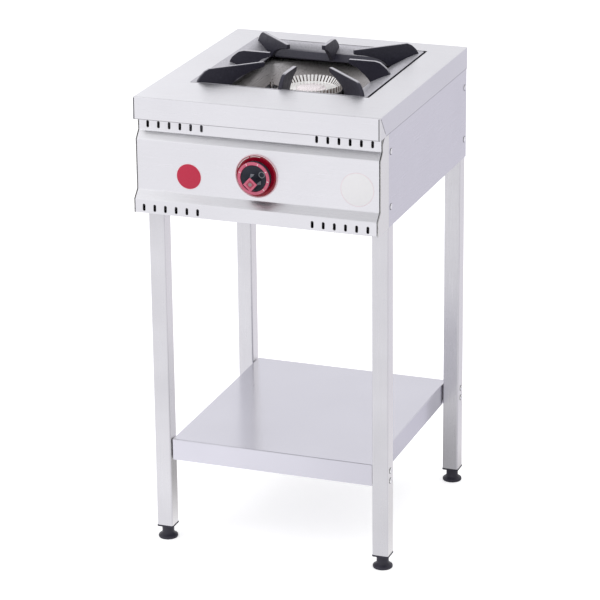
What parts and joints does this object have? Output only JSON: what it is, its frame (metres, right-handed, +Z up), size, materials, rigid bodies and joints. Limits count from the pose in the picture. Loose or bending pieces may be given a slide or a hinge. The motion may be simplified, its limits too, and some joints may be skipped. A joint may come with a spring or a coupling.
{
  "type": "stock pot range",
  "caption": "Free-standing gas range for one large pot: a square cast pan support over a round burner in a steel deck, a front knob, tube legs with screw feet and an undershelf.",
  "frame": {"origin": "on the floor, under the middle of the range from knob to rear feet", "axes": "+Z up, +X to the right as seen from the front, the knob faces -Y"},
  "size_m": [0.45, 0.5256, 0.87],
  "materials": {
    "steel": "brushed stainless steel sheet",
    "bright_steel": "bright stainless steel",
    "galvanised": "galvanised sheet and pipe, dull grey",
    "cast_iron": "black enamelled cast iron",
    "black_plastic": "black moulded plastic",
    "red_plastic": "deep red glossy plastic",
    "brass": "machined brass",
    "copper": "soft copper tube"
  },
  "bodies": {
    "range_body": {"leg_front_left": "steel", "leg_front_right": "steel", "leg_rear_left": "steel", "leg_rear_right": "steel", "undershelf": "steel", "deck": "steel", "front_panel": "steel", "side_panel_left": "steel", "side_panel_right": "steel", "shelf_bolt_front_left_1": "bright_steel", "shelf_bolt_front_left_2": "bright_steel", "shelf_bolt_front_right_1": "bright_steel", "shelf_bolt_front_right_2": "bright_steel", "shelf_bolt_rear_left_1": "bright_steel", "shelf_bolt_rear_left_2": "bright_steel", "shelf_bolt_rear_right_1": "bright_steel", "shelf_bolt_rear_right_2": "bright_steel", "panel_screw_front_left_1": "bright_steel", "panel_screw_front_left_2": "bright_steel", "panel_screw_front_right_1": "bright_steel", "panel_screw_front_right_2": "bright_steel", "panel_screw_rear_left_1": "bright_steel", "panel_screw_rear_left_2": "bright_steel", "panel_screw_rear_right_1": "bright_steel", "panel_screw_rear_right_2": "bright_steel", "well": "bright_steel", "thermocouple": "bright_steel", "rear_panel": "galvanised", "heat_shield": "galvanised", "burner_bracket": "galvanised", "gas_rail": "galvanised", "burner_pot": "cast_iron", "mixer_tube": "cast_iron", "end_cap_front_left": "black_plastic", "end_cap_front_right": "black_plastic", "end_cap_rear_left": "black_plastic", "end_cap_rear_right": "black_plastic", "knob_bezel": "red_plastic", "cock_body": "brass", "inlet_union": "brass", "injector": "brass", "pilot_burner": "brass", "feed_pipe": "copper", "pilot_tube": "copper", "thermocouple_lead": "copper"},
    "foot_front_left": {"foot_front_left": "black_plastic"},
    "foot_front_right": {"foot_front_right": "black_plastic"},
    "foot_rear_left": {"foot_rear_left": "black_plastic"},
    "foot_rear_right": {"foot_rear_right": "black_plastic"},
    "pan_support": {"pan_support": "cast_iron"},
    "crown": {"burner_crown": "bright_steel"},
    "cap": {"burner_cap": "bright_steel"},
    "plug": {"cock_plug": "brass"},
    "knob": {"cock_spindle": "bright_steel", "knob": "black_plastic", "knob_ring": "red_plastic", "knob_pointer": "red_plastic"},
    "shutter": {"air_shutter": "galvanised"}
  },
  "joints": [
    {"name": "foot_front_left_wind", "type": "slide", "parent": "range_body", "child": "foot_front_left", "axis": [0, 0, -1], "range_m": [0, 0.015]},
    {"name": "foot_front_right_wind", "type": "slide", "parent": "range_body", "child": "foot_front_right", "axis": [0, 0, -1], "range_m": [0, 0.015]},
    {"name": "foot_rear_left_wind", "type": "slide", "parent": "range_body", "child": "foot_rear_left", "axis": [0, 0, -1], "range_m": [0, 0.015]},
    {"name": "foot_rear_right_wind", "type": "slide", "parent": "range_body", "child": "foot_rear_right", "axis": [0, 0, -1], "range_m": [0, 0.015]},
    {"name": "pan_support_lift", "type": "slide", "parent": "range_body", "child": "pan_support", "axis": [0, 0, 1], "range_m": [0, 0.15]},
    {"name": "crown_lift", "type": "slide", "parent": "range_body", "child": "crown", "axis": [0, 0, 1], "range_m": [0, 0.1]},
    {"name": "cap_lift", "type": "slide", "parent": "crown", "child": "cap", "axis": [0, 0, 1], "range_m": [0, 0.04]},
    {"name": "knob_turn", "type": "hinge", "parent": "range_body", "child": "plug", "pos_m": [0, -0.2327, 0.727], "axis": [0, -1, 0], "range_deg": [-138, 72]},
    {"name": "knob_push", "type": "slide", "parent": "plug", "child": "knob", "axis": [0, 1, 0], "range_m": [0, 0.003], "stiffness_N_per_m": 1500, "springref_m": -0.003},
    {"name": "shutter_turn", "type": "hinge", "parent": "range_body", "child": "shutter", "pos_m": [0, -0.1287, 0.7782], "axis": [0, -1, 0], "range_deg": [0, 45]}
  ]
}
